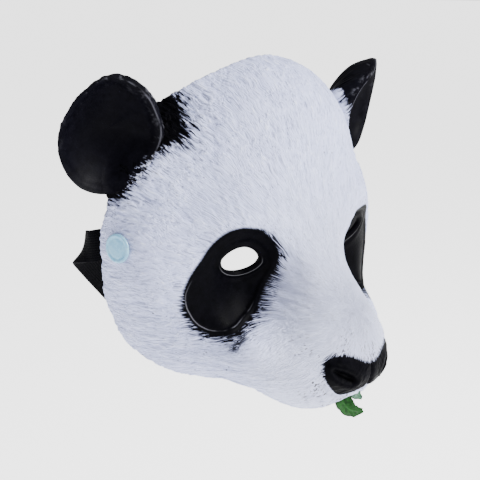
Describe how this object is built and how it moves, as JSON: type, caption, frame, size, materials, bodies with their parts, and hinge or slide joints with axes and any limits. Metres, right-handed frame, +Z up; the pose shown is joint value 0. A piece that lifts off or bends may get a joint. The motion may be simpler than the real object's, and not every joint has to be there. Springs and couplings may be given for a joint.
{
  "type": "animal half mask",
  "caption": "Moulded panda half mask with cupped ears, almond eye holes, a muzzle open underneath, press snaps and an elastic head strap.",
  "frame": {"origin": "on the middle plane, level with the eye holes and midway between them, where the wearer's face takes the mask", "axes": "+Y from the mask's front to the wearer's head behind it, +X to the wearer's left, +Z up"},
  "size_m": [0.2252, 0.1327, 0.1782],
  "materials": {
    "latex_white": "matt moulded fur relief, painted black round the eyes, nose and ears",
    "latex_black": "satin",
    "elastic_black": "woven",
    "snap_plastic": "translucent gloss",
    "leaf_green": "satin with darker edges",
    "leaf_pale": "satin"
  },
  "bodies": {
    "root": {"face_shell": "latex_white", "ear_left": "latex_black", "ear_right": "latex_black", "strap": "elastic_black", "snap_cap_left": "snap_plastic", "snap_cap_right": "snap_plastic", "snap_back_left": "snap_plastic", "snap_back_right": "snap_plastic", "leaf_front": "leaf_green", "leaf_back": "leaf_pale"}
  },
  "joints": []
}
